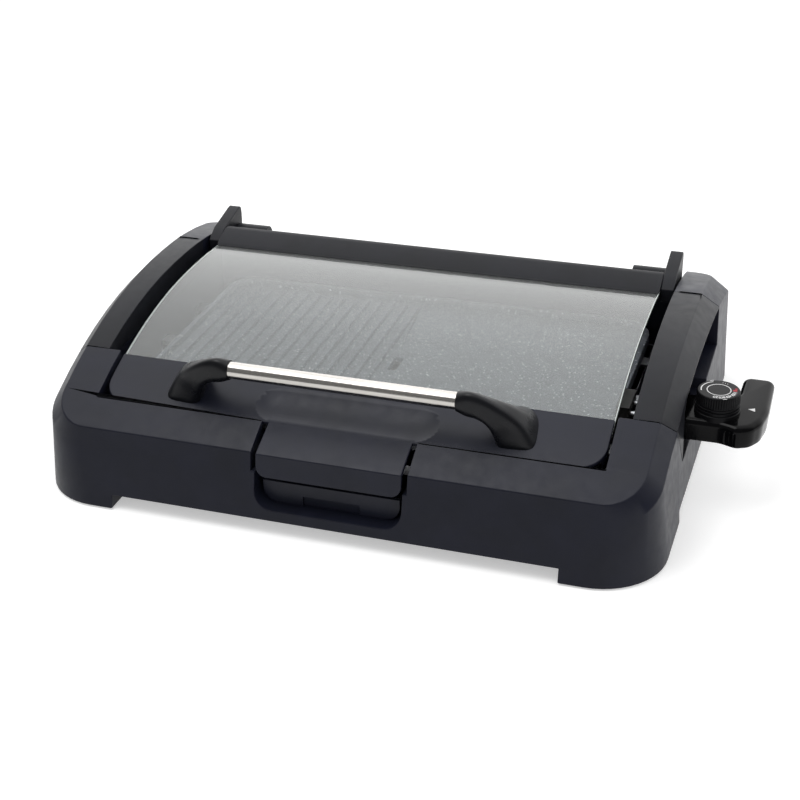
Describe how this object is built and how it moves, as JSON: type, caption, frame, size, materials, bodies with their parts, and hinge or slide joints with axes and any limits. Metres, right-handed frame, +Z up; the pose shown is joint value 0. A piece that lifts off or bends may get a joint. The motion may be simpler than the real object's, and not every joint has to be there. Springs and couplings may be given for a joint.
{
  "type": "electric indoor grill with lid",
  "caption": "Electric indoor grill: arched body, hinged glass lid with tube handle, ribbed plate, pull-out drip tray and plug-in thermostat with a knob.",
  "frame": {"origin": "on the table under the middle of the whole grill's outer box, control included", "axes": "+X to the control's side (the right, seen from the front), +Y from the front to the hinges, +Z up"},
  "size_m": [0.591, 0.394, 0.137],
  "materials": {
    "body_plastic": "fine matt",
    "arm_plastic": "fine matt",
    "gloss_black": "gloss",
    "rubber": "matt",
    "steel": "brushed",
    "zinc_steel": "plated",
    "cast_plate": "speckled non-stick coating",
    "element": "oxidised",
    "ceramic": "matt",
    "brass": "plain",
    "glass": "clear"
  },
  "bodies": {
    "base": {"lower_housing": "body_plastic", "left_arm": "arm_plastic", "right_arm": "arm_plastic", "foot_pads": "rubber", "housing_screws": "zinc_steel", "hinge_block_left": "body_plastic", "hinge_block_right": "body_plastic", "hinge_pins": "zinc_steel", "reflector_pan": "zinc_steel", "plate_brackets": "zinc_steel", "cooking_plate": "cast_plate", "heating_element": "element", "terminal_block": "ceramic", "terminal_pins": "zinc_steel", "terminal_guard": "body_plastic"},
    "tray": {"drip_tray": "body_plastic"},
    "lid": {"lid_panel": "body_plastic", "lid_glass": "glass", "glass_retainer": "body_plastic", "lid_bar": "body_plastic", "lid_ear_left": "body_plastic", "lid_ear_right": "body_plastic", "handle_bracket_left": "gloss_black", "handle_bracket_right": "gloss_black", "handle_tube": "steel", "handle_plugs": "rubber", "lid_screws": "zinc_steel"},
    "control": {"control_cover": "gloss_black", "control_base": "gloss_black", "control_nose": "gloss_black", "contact_sleeves": "brass", "probe": "zinc_steel", "knob_collar": "gloss_black", "control_screws": "zinc_steel"},
    "knob": {"knob": "gloss_black", "knob_shaft": "zinc_steel"}
  },
  "joints": [
    {"name": "lid_hinge", "type": "hinge", "parent": "base", "child": "lid", "pos_m": [-0.0275, 0.143, 0.112], "axis": [-1, 0, 0], "range_deg": [0, 95]},
    {"name": "tray_slide", "type": "slide", "parent": "base", "child": "tray", "axis": [0, -1, 0], "range_m": [0, 0.25]},
    {"name": "control_pull", "type": "slide", "parent": "base", "child": "control", "axis": [1, 0, 0], "range_m": [0, 0.045]},
    {"name": "knob_turn", "type": "hinge", "parent": "control", "child": "knob", "pos_m": [0.2565, -0.048, 0.094], "axis": [0, 0, -1], "range_deg": [0, 300]}
  ]
}
